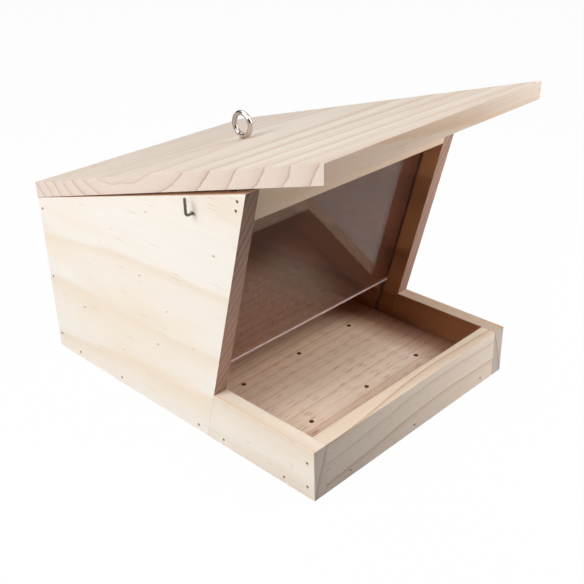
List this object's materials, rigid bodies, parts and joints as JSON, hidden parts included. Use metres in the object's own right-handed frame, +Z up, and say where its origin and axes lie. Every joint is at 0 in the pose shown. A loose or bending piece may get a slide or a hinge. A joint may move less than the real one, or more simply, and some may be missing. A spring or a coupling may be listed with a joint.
{
  "type": "silo bird feeder",
  "caption": "Wooden silo bird feeder: an open seed tray under a hinged sloping roof, with a clear sliding window, a hanging eye screw and side hooks.",
  "frame": {"origin": "middle of the case's base, on the underside of the floor board", "axes": "+Z up, +Y towards the hinged back, the open tray faces -Y, +X to the right as seen from the tray"},
  "size_m": [0.24, 0.3234, 0.2448],
  "materials": {
    "silo_pine": "planed, untreated",
    "tray_pine": "planed, untreated",
    "floor_pine": "planed, untreated",
    "roof_pine": "planed, untreated",
    "clear_pane": "clear, polished",
    "eye_chrome": "bright plated",
    "hook_steel": "zinc plated wire",
    "hinge_steel": "zinc plated",
    "pin_steel": "plain",
    "nail_steel": "dull"
  },
  "bodies": {
    "case": {"floor_board": "floor_pine", "silo_side_left": "silo_pine", "silo_side_right": "silo_pine", "tray_side_left": "tray_pine", "tray_side_right": "tray_pine", "tray_front": "tray_pine", "back_panel": "tray_pine", "top_rail": "tray_pine", "side_hook_left": "hook_steel", "side_hook_right": "hook_steel", "hinge_case_leaf_left": "hinge_steel", "hinge_case_leaf_right": "hinge_steel", "hinge_pin_left": "pin_steel", "hinge_pin_right": "pin_steel", "hinge_case_screws": "pin_steel", "silo_nails_left": "nail_steel", "silo_nails_right": "nail_steel", "rail_nails_left": "nail_steel", "rail_nails_right": "nail_steel", "tray_nails_left": "nail_steel", "tray_nails_right": "nail_steel", "front_nails": "nail_steel"},
    "lid": {"roof_board": "roof_pine", "eye_screw": "eye_chrome", "hinge_lid_leaf_left": "hinge_steel", "hinge_lid_leaf_right": "hinge_steel", "hinge_lid_screws": "pin_steel"},
    "window": {"window_pane": "clear_pane"}
  },
  "joints": [
    {"name": "lid_hinge", "type": "hinge", "parent": "case", "child": "lid", "pos_m": [0, 0.1565, 0.14065], "axis": [-1, 0, 0], "range_deg": [0, 175]},
    {"name": "window_slide", "type": "slide", "parent": "case", "child": "window", "axis": [0, 0.2571, -0.9664], "range_m": [0, 0.034]}
  ]
}
